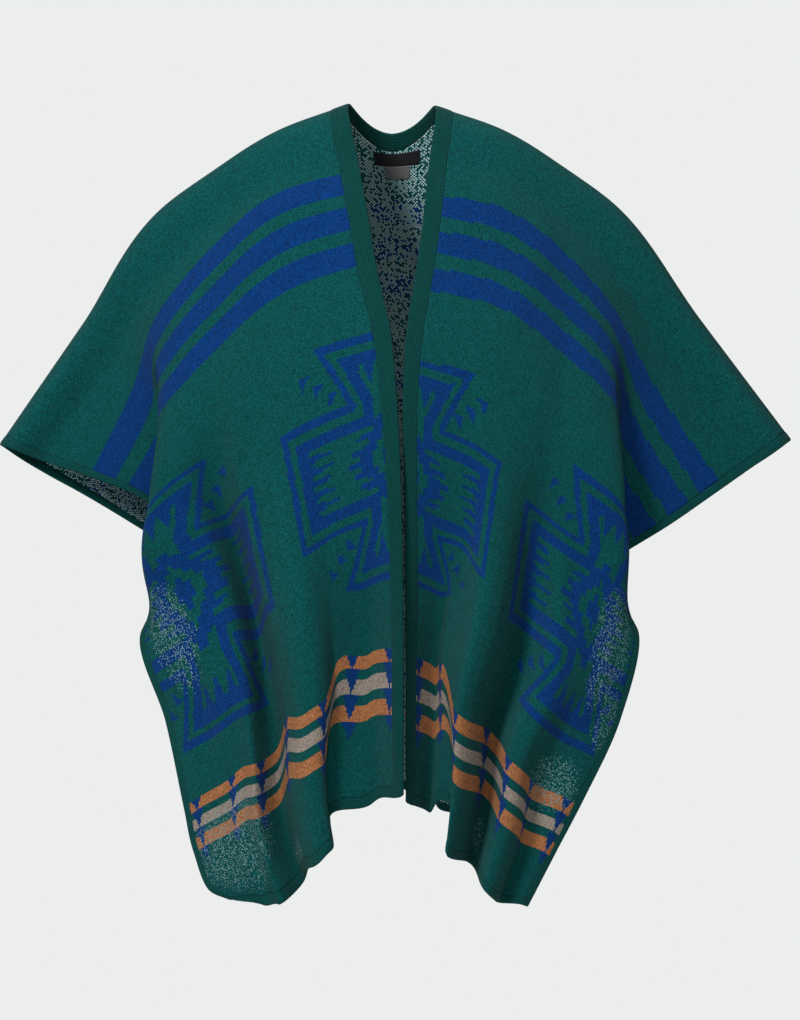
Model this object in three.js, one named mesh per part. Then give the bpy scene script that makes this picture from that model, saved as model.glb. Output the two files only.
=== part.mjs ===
// Open-fronted knitted cape, filled out as if worn, with nobody in it.
// Millimetres. X runs to the cape's left as seen from the front (viewer's right), Y runs to the back,
// Z runs up. The origin lies between the shoulders, at the level of the neck points, where a wearer
// carries the cape.
// Every piece is a stretch of one cloth surface: a point of the cloth is named by how far it lies
// across from the front edge (across) and how far it lies down from the shoulder seam (down).
import * as THREE from "three";

// Driving sizes
const CLOTH_WALL = 2.6;
const BAND_WALL = 4;
const TRIM_WALL = 3.4;
const SEAM_GAP = 0.3;
const FRONT_LENGTH = 800;
const BACK_LENGTH = 770;
const NECK_HALF = 48;
const FRONT_BAND = 20;
const EDGE_BAND = 11;
const NECK_SCOOP = 42;
const CROWN_BODY = { reach: 104, height: 30 };
const CROWN_CUFF = { reach: 52, height: 34 };
const SHOULDER_FADE = 150;
const WALL_TURN = 24;

const LABEL_CLEAR = 0.5;
const LABEL = { edges: [-21, -8, 6, 21, 32], top: 44, tall: 14, wall: 0.8 };
const CARE_LABEL = { edges: [-8, 6, 21], top: 58.6, tall: 15, wall: 0.6 };

// A table's rows, each turned into an object by the names of its columns.
const named = (names) => (rows) => rows.map((row) => Object.fromEntries(names.map((n, k) => [n, row[k]])));

// Sections of a panel, from the shoulder seam down to the hem.
// width is the cloth across; foldAt is where the outer fold lies in it; bow lifts the row between
// the front edge and the fold; tuck pulls the cloth behind the fold towards the middle.
// centre, fold and side are the places of the front edge, the outer fold and the side edge.
const sections = named(["down", "width", "foldAt", "bow", "tuck", "centre", "fold", "side"]);
const LEFT_FRONT = sections([
  [0, 550, 233, 10, 0, [-46, 0, 4], [-250, -2, -109], [-429, -15, -371]],
  [50, 550, 246, 21, 1, [-41, -36, -33], [-250, -31, -163], [-381, -24, -389]],
  [104, 550, 261, 30, 6, [-34, -70, -75], [-247, -58, -221], [-329, -32, -406]],
  [168, 548, 278, 31, 26, [-24, -94, -131], [-248, -80, -292], [-269, -38, -431]],
  [215, 530, 292, 30, 34, [-17, -108, -175], [-250, -92, -343], [-226, -20, -460]],
  [300, 480, 338, 30, 8, [0, -131, -256], [-259, -104, -430], [-202, -18, -500]],
  [370, 440, 365, 20, 0, [6, -143, -324], [-266, -98, -500], [-228, -46, -542]],
  [445, 420, 372, 12, 0, [10, -150, -398], [-252, -92, -552], [-271, -70, -577]],
  [540, 420, 340, 4, 0, [12, -152, -493], [-197, -108, -640], [-244, -76, -671]],
  [634, 420, 340, 0, 0, [13, -152, -582], [-178, -112, -728], [-224, -84, -763]],
  [709, 420, 340, 0, 0, [13, -150, -654], [-172, -114, -782], [-213, -88, -811]],
  [760, 420, 338, 0, 0, [13, -149, -704], [-157, -115, -828], [-197, -94, -850]],
  [800, 420, 335, 0, 0, [13, -148, -744], [-138, -116, -866], [-176, -98, -859]],
]);
const RIGHT_FRONT = sections([
  [0, 550, 228, 10, 0, [46, 0, 2], [241, -2, -104], [437, -15, -366]],
  [50, 550, 240, 20, 1, [43, -36, -35], [236, -31, -152], [395, -20, -395]],
  [104, 550, 254, 28, 4, [39, -70, -78], [231, -58, -203], [352, -24, -425]],
  [168, 548, 270, 28, 16, [33, -92, -134], [235, -78, -271], [299, -33, -461]],
  [215, 536, 286, 28, 24, [27, -106, -178], [240, -92, -325], [256, -36, -487]],
  [300, 488, 330, 30, 8, [15, -129, -258], [249, -104, -415], [212, -24, -518]],
  [370, 444, 362, 20, 0, [12, -138, -326], [254, -98, -488], [229, -42, -550]],
  [445, 420, 372, 12, 0, [13, -139, -400], [247, -92, -550], [266, -70, -574]],
  [540, 420, 340, 4, 0, [14, -138, -495], [205, -108, -640], [247, -76, -668]],
  [634, 420, 340, 0, 0, [15, -137, -582], [160, -112, -722], [207, -84, -754]],
  [709, 420, 340, 0, 0, [15, -135, -660], [146, -114, -784], [177, -88, -810]],
  [800, 420, 335, 0, 0, [15, -133, -752], [118, -116, -858], [146, -98, -868]],
]);

// Sections of one half of the back panel, read alike for both halves.
const BACK = sections([
  [0, 598, 281, 0, 0, [0, 38, -2], [-250, -2, -109], [-429, -15, -371]],
  [50, 598, 290, 14, 0, [0, 60, -50], [-250, 24, -160], [-386, -2, -399]],
  [104, 598, 300, 22, 0, [0, 82, -99], [-249, 44, -218], [-340, 12, -425]],
  [168, 596, 314, 24, 8, [0, 102, -160], [-248, 62, -285], [-286, 27, -458]],
  [215, 580, 326, 22, 10, [0, 112, -206], [-247, 74, -335], [-248, 40, -483]],
  [300, 540, 360, 18, 6, [0, 122, -290], [-243, 84, -420], [-222, 50, -524]],
  [370, 500, 390, 12, 0, [0, 126, -360], [-238, 84, -490], [-226, 50, -586]],
  [445, 470, 400, 6, 0, [0, 128, -434], [-214, 82, -566], [-222, 50, -652]],
  [540, 470, 400, 0, 0, [0, 129, -528], [-190, 84, -656], [-212, 56, -726]],
  [634, 470, 400, 0, 0, [0, 129, -621], [-162, 90, -726], [-190, 64, -774]],
  [709, 470, 400, 0, 0, [0, 128, -695], [-142, 96, -768], [-166, 72, -806]],
  [770, 470, 400, 0, 0, [0, 127, -755], [-130, 100, -806], [-152, 76, -832]],
]);

// Folds that hang in each panel. at gives the fold's place across at its top and at the hem, half is
// half its breadth, forward brings it out from the hollow inside, lean moves it along the row, pull
// draws the cloth on both sides towards it, lift raises it. It starts at from and is full at full.
const foldRows = named(["at", "half", "forward", "lean", "pull", "lift", "from", "full"]);
const LEFT_FOLDS = foldRows([
  [[60, 58], 56, -26, 10, 0, 18, 440, 640],
  [[100, 110], 46, -4, 14, 0, 34, 440, 640],
  [[112, 112], 60, 0, 22, 0, 6, 640, 800],
  [[156, 172], 56, 32, -3, 0, 0, 300, 600],
  [[210, 210], 40, 0, 0, 0, 14, 460, 640],
  [[206, 206], 44, 0, 0, 0, -12, 660, 800],
  [[242, 244], 44, -35, 4, 10, -8, 240, 460],
  [[276, 282], 44, 0, 12, 0, -8, 460, 640],
  [[340, 334], 60, -12, 2, 0, -2, 460, 680],
]);
const RIGHT_FOLDS = foldRows([
  [[56, 56], 56, -26, 16, 0, 14, 420, 640],
  [[96, 100], 46, -6, 0, 0, 24, 420, 620],
  [[112, 122], 54, 0, 21, 0, 26, 640, 800],
  [[146, 166], 58, 34, -20, 0, -16, 280, 600],
  [[220, 230], 50, -27, 5, 0, 4, 330, 560],
  [[286, 286], 60, 17, -5, 0, -8, 440, 680],
  [[344, 344], 56, -14, 0, 0, -6, 440, 680],
]);
const BACK_FOLDS = foldRows([
  [[-40, -52], 90, 20, 0, 0, 0, 200, 620],
  [[60, 78], 96, 24, 0, 0, 0, 240, 640],
  [[-190, -170], 80, -26, 0, 8, 0, 220, 560],
  [[200, 190], 84, -28, 0, 8, 0, 200, 580],
  [[-290, -290], 84, 22, 0, 0, 0, 260, 600],
  [[310, 300], 80, 24, 0, 0, 0, 280, 620],
  [[-380, -386], 56, -14, 0, 0, 0, 360, 640],
  [[384, 388], 56, -16, 0, 0, 0, 360, 640],
]);

const mix = (a, b, t) => a + (b - a) * t;
const clamp = (x, low, high) => Math.min(high, Math.max(low, x));
const ease = (t) => {
  const s = clamp(t, 0, 1);
  return s * s * (3 - 2 * s);
};
const mixPoint = (a, b, t) => [mix(a[0], b[0], t), mix(a[1], b[1], t), mix(a[2], b[2], t)];

// A smooth curve through values at uneven stations: a cubic in each span, whose slopes at the
// stations are those of the parabola through each station and its neighbours.
function smoothThrough(stations, values, x) {
  const last = stations.length - 1;
  let span = 0;
  while (span < last - 1 && x > stations[span + 1]) span += 1;
  const slope = (k) => {
    const left = Math.max(k - 1, 0);
    const right = Math.min(k + 1, last);
    const before = (values[k] - values[left]) / (stations[k] - stations[left] || 1);
    const after = (values[right] - values[k]) / (stations[right] - stations[k] || 1);
    if (k === 0) return after;
    if (k === last) return before;
    return mix(before, after, (stations[k] - stations[left]) / (stations[right] - stations[left]));
  };
  const size = stations[span + 1] - stations[span];
  const t = (x - stations[span]) / size;
  const a = values[span];
  const b = values[span + 1];
  const sa = slope(span) * size;
  const sb = slope(span + 1) * size;
  return a + t * (sa + t * (3 * (b - a) - 2 * sa - sb + t * (2 * (a - b) + sa + sb)));
}

// The section of a table at any distance down: every column runs smoothly from row to row.
function sectionAt(table, down) {
  const stations = table.map((row) => row.down);
  const read = (pick) => smoothThrough(stations, table.map(pick), down);
  const place = (key) => [0, 1, 2].map((axis) => read((row) => row[key][axis]));
  return {
    width: read((row) => row.width),
    foldAt: read((row) => row.foldAt),
    bow: read((row) => row.bow),
    tuck: read((row) => row.tuck),
    centre: place("centre"),
    fold: place("fold"),
    side: place("side"),
  };
}

// One row of the cloth: a smooth curve from the front edge over the bowed stretch and the outer
// fold, through the tucked cloth behind it, to the side edge.
function rowPoint(section, across) {
  const { width, foldAt, bow, tuck, centre, fold, side } = section;
  const run = [fold[0] - centre[0], fold[2] - centre[2]];
  const length = Math.hypot(run[0], run[1]);
  const outwards = Math.sign(run[0]) || 1;
  const up = [(-run[1] / length) * outwards, (run[0] / length) * outwards];
  const bowed = (t) => {
    const point = mixPoint(centre, fold, t);
    const rise = bow * Math.sin(Math.PI * t ** 0.8);
    return [point[0] + up[0] * rise, point[1], point[2] + up[1] * rise];
  };
  const behind = mixPoint(fold, side, 0.5);
  behind[0] -= outwards * tuck;
  const stations = [0, foldAt / 3, (2 * foldAt) / 3, foldAt, (foldAt + width) / 2, width];
  const places = [centre, bowed(1 / 3), bowed(2 / 3), fold, behind, side];
  return [0, 1, 2].map((axis) => smoothThrough(stations, places.map((p) => p[axis]), across));
}

// The folds' moves at a point: along the row, out from the inside, and up.
function foldMoves(folds, across, down, length) {
  const moves = { along: 0, out: 0, up: 0 };
  for (const fold of folds) {
    const strength = ease((down - fold.from) / (fold.full - fold.from));
    const centre = mix(fold.at[0], fold.at[1], clamp((down - fold.from) / (length - fold.from), 0, 1));
    const t = (across - centre) / fold.half;
    if (Math.abs(t) < 2) {
      moves.along -= strength * fold.pull * Math.sin((Math.PI * t) / 2);
    }
    if (Math.abs(t) < 1) {
      const bell = Math.cos((Math.PI * t) / 2) ** 2;
      moves.along += strength * fold.lean * bell;
      moves.out += strength * fold.forward * bell;
      moves.up += strength * fold.lift * bell;
    }
  }
  return moves;
}

// How far the cloth rounds over the shoulder and arm just below the seam. share runs from 0 at the
// neck to 1 at the cuff, where the round is tighter.
function crown(down, share) {
  const t = clamp(down / mix(CROWN_BODY.reach, CROWN_CUFF.reach, share), 0, 1);
  return mix(CROWN_BODY.height, CROWN_CUFF.height, share) * Math.sin(Math.PI * t) * (1 - t);
}

const vector = (p) => new THREE.Vector3(p[0], p[1], p[2]);

// A row's base curve with the panel's folds and the rounding over the shoulder laid on it.
// outSign turns the cross product of the two cloth directions to the panel's outer side.
function pleatedSurface({ base, widthAt, folds, length, outSign, armShare, round, settle }) {
  const step = 4;
  const at = (across, down) => {
    const here = base(across, down);
    const along = base(across + step, down).sub(base(across - step, down)).normalize();
    const drop = base(across, down + step).sub(base(across, Math.max(down - step, 0))).normalize();
    const out = new THREE.Vector3().crossVectors(along, drop).multiplyScalar(outSign).normalize();
    const moves = foldMoves(folds, across, down, length);
    if (settle) here.add(settle(across, down));
    here.addScaledVector(out, moves.out + crown(down, armShare(across)) * round(across));
    here.addScaledVector(along, moves.along);
    here.z += moves.up;
    return here;
  };
  return { at, widthAt, outSign };
}

function frontSurface(table, folds, outSign) {
  return pleatedSurface({
    base: (across, down) => vector(rowPoint(sectionAt(table, down), across)),
    widthAt: (down) => sectionAt(table, down).width,
    armShare: (across) => clamp(across / table[0].width, 0, 1),
    round: () => 1,
    folds,
    length: FRONT_LENGTH,
    outSign,
  });
}

const leftFront = frontSurface(LEFT_FRONT, LEFT_FOLDS, 1);
const rightFront = frontSurface(RIGHT_FRONT, RIGHT_FOLDS, -1);

// The shoulder line over both arms and round the back of the neck, by distance from the middle.
function shoulderPoint(across) {
  const front = across < 0 ? leftFront : rightFront;
  const reach = Math.abs(across);
  if (reach >= NECK_HALF) return front.at(reach - NECK_HALF, 0);
  const point = front.at(0, 0);
  const t = reach / NECK_HALF;
  const middle = BACK[0].centre;
  return new THREE.Vector3(point.x * t, mix(middle[1], point.y, t * t), mix(middle[2], point.z, t * t));
}

// The back panel is one surface from side edge to side edge. Near the shoulder it settles onto the
// same line as the fronts.
function backSurface() {
  const base = (across, down) => {
    const point = vector(rowPoint(sectionAt(BACK, down), Math.abs(across)));
    if (across > 0) point.x = -point.x;
    return point;
  };
  const beyondNeck = (across) => Math.abs(across) - NECK_HALF;
  return pleatedSurface({
    base,
    widthAt: (down) => sectionAt(BACK, down).width,
    armShare: (across) => clamp(beyondNeck(across) / LEFT_FRONT[0].width, 0, 1),
    round: (across) => ease((beyondNeck(across) + NECK_HALF / 2) / NECK_HALF),
    settle: (across, down) => {
      const gap = shoulderPoint(across).sub(base(across, 0));
      return gap.multiplyScalar(1 - ease(down / SHOULDER_FADE));
    },
    folds: BACK_FOLDS,
    length: BACK_LENGTH,
    outSign: 1,
  });
}
const back = backSurface();

// The direction through the cloth's wall. Next to the shoulder seam it is square to the seam and
// to Y on both sides of it, so that the two walls meet face to face.
function wallDirection(surface, across, down) {
  const step = 1.5;
  const along = surface.at(across + step, down).sub(surface.at(across - step, down));
  const lower = surface.at(across, down + step);
  const upper = surface.at(across, Math.max(down - step, 0));
  const direction = new THREE.Vector3().crossVectors(along, lower.sub(upper));
  direction.multiplyScalar(surface.outSign);
  direction.normalize();
  const square = new THREE.Vector3(-along.z, 0, along.x).normalize();
  if (square.z < 0) square.negate();
  return square.lerp(direction, ease(down / WALL_TURN)).normalize();
}

// A closed wall over a stretch of a surface. plan(a, b) gives the cloth's across and down for
// a and b from 0 to 1; lift moves the wall's middle off the surface, outwards when positive.
function clothWall(surface, plan, columns, rows, wall, lift = 0) {
  const points = [];
  for (const side of [1, -1]) {
    for (const b of rows) {
      for (const a of columns) {
        const [across, down] = plan(a, b);
        const direction = wallDirection(surface, across, down);
        const point = surface.at(across, down).addScaledVector(direction, lift + (side * wall) / 2);
        points.push(point.x, point.y, point.z);
      }
    }
  }
  const wide = columns.length;
  const tall = rows.length;
  const index = (side, row, column) => (side * tall + row) * wide + column;
  const triangles = [];
  const quad = (p, q, r, s) => triangles.push(p, q, r, p, r, s);
  for (let row = 0; row < tall - 1; row += 1) {
    for (let column = 0; column < wide - 1; column += 1) {
      const next = column + 1;
      const below = row + 1;
      quad(index(0, row, column), index(0, below, column), index(0, below, next), index(0, row, next));
      quad(index(1, row, column), index(1, row, next), index(1, below, next), index(1, below, column));
    }
  }
  for (let row = 0; row < tall - 1; row += 1) {
    quad(index(0, row, 0), index(1, row, 0), index(1, row + 1, 0), index(0, row + 1, 0));
    const end = wide - 1;
    quad(index(0, row, end), index(0, row + 1, end), index(1, row + 1, end), index(1, row, end));
  }
  for (let column = 0; column < wide - 1; column += 1) {
    const next = column + 1;
    const last = tall - 1;
    quad(index(0, 0, column), index(0, 0, next), index(1, 0, next), index(1, 0, column));
    quad(index(0, last, column), index(1, last, column), index(1, last, next), index(0, last, next));
  }
  const geometry = new THREE.BufferGeometry();
  geometry.setAttribute("position", new THREE.Float32BufferAttribute(points, 3));
  geometry.setIndex(triangles);
  if (signedVolume(geometry) < 0) flip(geometry);
  geometry.computeVertexNormals();
  return geometry;
}

function signedVolume(geometry) {
  const position = geometry.getAttribute("position");
  const order = geometry.getIndex();
  const corner = (k) => new THREE.Vector3().fromBufferAttribute(position, order.getX(k));
  let volume = 0;
  for (let k = 0; k < order.count; k += 3) {
    volume += corner(k).dot(corner(k + 1).cross(corner(k + 2))) / 6;
  }
  return volume;
}

function flip(geometry) {
  const order = geometry.getIndex();
  for (let k = 0; k < order.count; k += 3) {
    const second = order.getX(k + 1);
    order.setX(k + 1, order.getX(k + 2));
    order.setX(k + 2, second);
  }
}

// Evenly spaced stations from 0 to 1.
const evenly = (count) => Array.from({ length: count + 1 }, (_, k) => k / count);

const green = { color: 0x0f4f49, roughness: 0.95, metalness: 0 };
const trim = { color: 0x0d443f, roughness: 0.9, metalness: 0 };
const black = { color: 0x1a1a1d, roughness: 0.7, metalness: 0 };
const grey = { color: 0x3c3b39, roughness: 0.8, metalness: 0 };

const cape = new THREE.Group();
function add(name, geometry, finish) {
  const mesh = new THREE.Mesh(geometry, new THREE.MeshStandardMaterial(finish));
  mesh.name = name;
  cape.add(mesh);
}

const half = SEAM_GAP / 2;
const SEAM_EASE = 2;
const HEM_GAP = 0.5;
const EDGES = evenly(1);
const FRONT_COLUMNS = evenly(24);
const FRONT_ROWS = 29;
const BACK_ROWS = 22;
const ROW_CROWDING = 1.3;

// Stations down a panel, closest at the shoulder: neighbours share them, so that their facets meet.
const downStations = (rows, length) => {
  const foot = length - EDGE_BAND - half;
  return evenly(rows).map((t) => half + (foot - half) * t ** ROW_CROWDING);
};

// The two sides of the seam between a panel and its side band. The row may be drawn together there
// and the seam may slant across it, so the gap is measured square to the seam.
function sideSeam(surface, down) {
  const seamAt = (d) => surface.widthAt(d) - EDGE_BAND;
  const point = (across, d) => surface.at(across + seamAt(d), d);
  const row = point(1, down).sub(point(-1, down)).divideScalar(2);
  const seam = point(0, down + 2).sub(point(0, Math.max(down - 2, 0))).normalize();
  const gap = half * SEAM_EASE * clamp(1 / row.cross(seam).length(), 1, 4);
  return { panel: seamAt(down) - gap, band: seamAt(down) + gap };
}

// The panel lies between its two bands: a runs from the front band to the side band.
const panelAcross = (surface, a, down) => mix(FRONT_BAND + half, sideSeam(surface, down).panel, a);

for (const [side, surface] of [["left", leftFront], ["right", rightFront]]) {
  const panelDowns = downStations(FRONT_ROWS, FRONT_LENGTH);
  const bandDowns = [...panelDowns, FRONT_LENGTH];
  const hemDowns = [FRONT_LENGTH - EDGE_BAND + HEM_GAP, FRONT_LENGTH];
  const panel = (a, down) => [panelAcross(surface, a, down), down];
  const frontBand = (a, down) => [a * (FRONT_BAND - half), down];
  const sideBand = (a, down) => [mix(sideSeam(surface, down).band, surface.widthAt(down), a), down];
  add(`front_${side}`, clothWall(surface, panel, FRONT_COLUMNS, panelDowns, CLOTH_WALL), green);
  add(`front_band_${side}`, clothWall(surface, frontBand, EDGES, bandDowns, BAND_WALL), trim);
  add(`side_band_front_${side}`, clothWall(surface, sideBand, EDGES, bandDowns, TRIM_WALL), trim);
  add(`hem_front_${side}`, clothWall(surface, panel, FRONT_COLUMNS, hemDowns, TRIM_WALL), trim);
}

// The neck is cut from the back panel as a scoop between the two neck points. A column of the back
// is named by its place at the shoulder, where it meets the same column of the front.
const seamHalf = NECK_HALF + FRONT_BAND;
const scoop = (across, depth) => depth * (1 - Math.min(1, (across / seamHalf) ** 2));
const neckColumns = [-59, -46, -33, ...LABEL.edges, 46, 59];
const armColumns = FRONT_COLUMNS.map((a) => NECK_HALF + panelAcross(leftFront, a, 0));
const backColumns = [...armColumns.map((x) => -x).reverse(), ...neckColumns, ...armColumns];
const backReach = armColumns[armColumns.length - 1];

// Columns beyond the neck close up as the panel narrows below the arms.
function backAcross(column, down) {
  const beyond = Math.abs(column) - seamHalf;
  if (beyond <= 0) return column;
  const outer = sideSeam(back, down).panel;
  return Math.sign(column) * (seamHalf + (beyond / (backReach - seamHalf)) * (outer - seamHalf));
}
const backDowns = downStations(BACK_ROWS, BACK_LENGTH);
const foot = backDowns[BACK_ROWS];
const backPanel = (column, down) => {
  const top = scoop(column, NECK_SCOOP);
  const lowered = top + (down - half) * ((foot - top) / (foot - half)) + half;
  return [backAcross(column, Math.min(lowered, foot)), Math.min(lowered, foot)];
};
add("back", clothWall(back, backPanel, backColumns, backDowns, CLOTH_WALL), green);

for (const [side, sign] of [["left", -1], ["right", 1]]) {
  const sideBand = (a, down) => [sign * mix(sideSeam(back, down).band, back.widthAt(down), a), down];
  const bandDowns = [...backDowns, BACK_LENGTH];
  add(`side_band_back_${side}`, clothWall(back, sideBand, EDGES, bandDowns, TRIM_WALL), trim);
}
const hemBack = (column, down) => [backAcross(column, down), down];
const hemDowns = [BACK_LENGTH - EDGE_BAND + HEM_GAP, BACK_LENGTH];
add("hem_back", clothWall(back, hemBack, backColumns, hemDowns, TRIM_WALL), trim);

// The neck band runs round the back of the neck between the two front bands. b runs from its free
// edge to its seam.
const neckBand = (column, b) => {
  const t = column / seamHalf;
  const across = t * mix(NECK_HALF, seamHalf, b);
  const free = (NECK_SCOOP - FRONT_BAND) * (1 - t * t);
  const slope = (2 * NECK_SCOOP * t) / seamHalf;
  const seam = Math.max(0, NECK_SCOOP * (1 - t * t) - SEAM_GAP * Math.hypot(1, slope));
  return [across, half + mix(free, seam, b)];
};
const bandColumns = [half - seamHalf, ...neckColumns, seamHalf - half];
add("neck_band", clothWall(back, neckBand, bandColumns, EDGES, BAND_WALL), trim);

// Two blank labels, one sewn in below the other, inside the back of the neck.
for (const [name, label, finish] of [["neck_label", LABEL, black], ["care_label", CARE_LABEL, grey]]) {
  const plan = (across, b) => [across, label.top + b * label.tall];
  const lift = -(CLOTH_WALL / 2 + LABEL_CLEAR + label.wall / 2);
  add(name, clothWall(back, plan, label.edges, EDGES, label.wall, lift), finish);
}

export default cape;
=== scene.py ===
# %% [markdown]
# A knitted cape, worked out as cloth.
# The imported model is loaded first. It fixes where every piece lies, and each piece made below is the
# same cloth drawn finer, so the script starts by loading the model's parts and keeping them in place.

import bpy
import numpy as np
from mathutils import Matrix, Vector


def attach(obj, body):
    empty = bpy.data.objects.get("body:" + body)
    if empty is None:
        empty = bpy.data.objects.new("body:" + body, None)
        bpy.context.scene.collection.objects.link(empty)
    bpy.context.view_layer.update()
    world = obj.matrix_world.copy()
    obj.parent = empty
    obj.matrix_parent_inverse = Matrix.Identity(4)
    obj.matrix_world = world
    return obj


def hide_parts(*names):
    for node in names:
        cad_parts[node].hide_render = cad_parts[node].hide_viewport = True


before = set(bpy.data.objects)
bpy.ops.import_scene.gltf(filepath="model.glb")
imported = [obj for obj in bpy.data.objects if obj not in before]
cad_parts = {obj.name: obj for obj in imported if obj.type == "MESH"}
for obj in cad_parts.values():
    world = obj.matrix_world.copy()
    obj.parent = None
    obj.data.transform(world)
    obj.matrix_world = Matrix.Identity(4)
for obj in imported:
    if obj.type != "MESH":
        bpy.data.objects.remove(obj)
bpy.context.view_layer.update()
MM = 0.001

# %% [markdown]
# The camera looks straight at the cape from the front, at chest height. It stands 4.2 m away, as for
# a shop photograph, so that the folds are hardly widened by perspective.

# %% Camera
AIM = (0.009, 0.0, -0.442)
DISTANCE = 4.2
VIEW_HEIGHT = 1.122
SENSOR = 36.0

camera_data = bpy.data.cameras.new("camera")
camera_data.sensor_width = SENSOR
camera_data.lens = SENSOR * DISTANCE / VIEW_HEIGHT
camera_data.dof.use_dof = False
camera = bpy.data.objects.new("camera", camera_data)
camera.location = (AIM[0], AIM[1] - DISTANCE, AIM[2])
camera.rotation_euler = (Vector(AIM) - camera.location).to_track_quat("-Z", "Y").to_euler()
bpy.context.scene.collection.objects.link(camera)
bpy.context.scene.camera = camera
print("lens", round(camera_data.lens, 1), "mm")

# %% [markdown]
# The cloth is named by two lengths: across, from the front edge, and down, from the shoulder seam.
# A table of sections says where the front edge, the outer fold and the side edge of each row are,
# and a smooth curve runs through them. The folds are laid on that surface as soft bells, and smaller
# creases on top of them.
# These are the sizes of the imported solids, so that the finer cloth lies where they lie.

# %% Sizes of the cloth, in millimetres
CLOTH_WALL = 2.4
BAND_WALL = 4.0
TRIM_WALL = 3.4
SEAM = 0.15
LAP = 0.9
FRONT_LENGTH = 800.0
BACK_LENGTH = 770.0
NECK_HALF = 48.0
FRONT_BAND = 20.0
EDGE_BAND = 11.0
NECK_SCOOP = 42.0
SHOULDER_FADE = 150.0
WALL_TURN = 24.0
CROWN_REACH = (104.0, 52.0)
CROWN_HEIGHT = (30.0, 34.0)

# down, width, fold at, bow, tuck, then x y z of the front edge, the outer fold and the side edge
LEFT_FRONT = np.array([
    [0, 550, 233, 10, 0, -46, 0, 4, -250, -2, -109, -429, -15, -371],
    [50, 550, 246, 21, 1, -41, -36, -33, -250, -31, -163, -381, -24, -389],
    [104, 550, 261, 30, 6, -34, -70, -75, -247, -58, -221, -329, -32, -406],
    [168, 548, 278, 31, 26, -24, -94, -131, -248, -80, -292, -269, -38, -431],
    [215, 530, 292, 30, 34, -17, -108, -175, -250, -92, -343, -226, -20, -460],
    [300, 480, 338, 30, 8, 0, -131, -256, -259, -104, -430, -202, -18, -500],
    [370, 440, 365, 20, 0, 6, -143, -324, -266, -98, -500, -228, -46, -542],
    [445, 420, 372, 12, 0, 10, -150, -398, -252, -92, -552, -271, -70, -577],
    [540, 420, 340, 4, 0, 12, -152, -493, -197, -108, -640, -244, -76, -671],
    [634, 420, 340, 0, 0, 13, -152, -582, -178, -112, -728, -224, -84, -763],
    [709, 420, 340, 0, 0, 13, -150, -654, -172, -114, -782, -213, -88, -811],
    [760, 420, 338, 0, 0, 13, -149, -704, -157, -115, -828, -197, -94, -850],
    [800, 420, 335, 0, 0, 13, -148, -744, -138, -116, -866, -176, -98, -859],
], float)
RIGHT_FRONT = np.array([
    [0, 550, 228, 10, 0, 46, 0, 2, 241, -2, -104, 437, -15, -366],
    [50, 550, 240, 20, 1, 43, -36, -35, 236, -31, -152, 395, -20, -395],
    [104, 550, 254, 28, 4, 39, -70, -78, 231, -58, -203, 352, -24, -425],
    [168, 548, 270, 28, 16, 33, -92, -134, 235, -78, -271, 299, -33, -461],
    [215, 536, 286, 28, 24, 27, -106, -178, 240, -92, -325, 256, -36, -487],
    [300, 488, 330, 30, 8, 15, -129, -258, 249, -104, -415, 212, -24, -518],
    [370, 444, 362, 20, 0, 12, -138, -326, 254, -98, -488, 229, -42, -550],
    [445, 420, 372, 12, 0, 13, -139, -400, 247, -92, -550, 266, -70, -574],
    [540, 420, 340, 4, 0, 14, -138, -495, 205, -108, -640, 247, -76, -668],
    [634, 420, 340, 0, 0, 15, -137, -582, 160, -112, -722, 207, -84, -754],
    [709, 420, 340, 0, 0, 15, -135, -660, 146, -114, -784, 177, -88, -810],
    [800, 420, 335, 0, 0, 15, -133, -752, 118, -116, -858, 146, -98, -868],
], float)
BACK = np.array([
    [0, 598, 281, 0, 0, 0, 38, -2, -250, -2, -109, -429, -15, -371],
    [50, 598, 290, 14, 0, 0, 60, -50, -250, 24, -160, -386, -2, -399],
    [104, 598, 300, 22, 0, 0, 82, -99, -249, 44, -218, -340, 12, -425],
    [168, 596, 314, 24, 8, 0, 102, -160, -248, 62, -285, -286, 27, -458],
    [215, 580, 326, 22, 10, 0, 112, -206, -247, 74, -335, -248, 40, -483],
    [300, 540, 360, 18, 6, 0, 122, -290, -243, 84, -420, -222, 50, -524],
    [370, 500, 390, 12, 0, 0, 126, -360, -238, 84, -490, -226, 50, -586],
    [445, 470, 400, 6, 0, 0, 128, -434, -214, 82, -566, -222, 50, -652],
    [540, 470, 400, 0, 0, 0, 129, -528, -190, 84, -656, -212, 56, -726],
    [634, 470, 400, 0, 0, 0, 129, -621, -162, 90, -726, -190, 64, -774],
    [709, 470, 400, 0, 0, 0, 128, -695, -142, 96, -768, -166, 72, -806],
    [770, 470, 400, 0, 0, 0, 127, -755, -130, 100, -806, -152, 76, -832],
], float)

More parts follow.
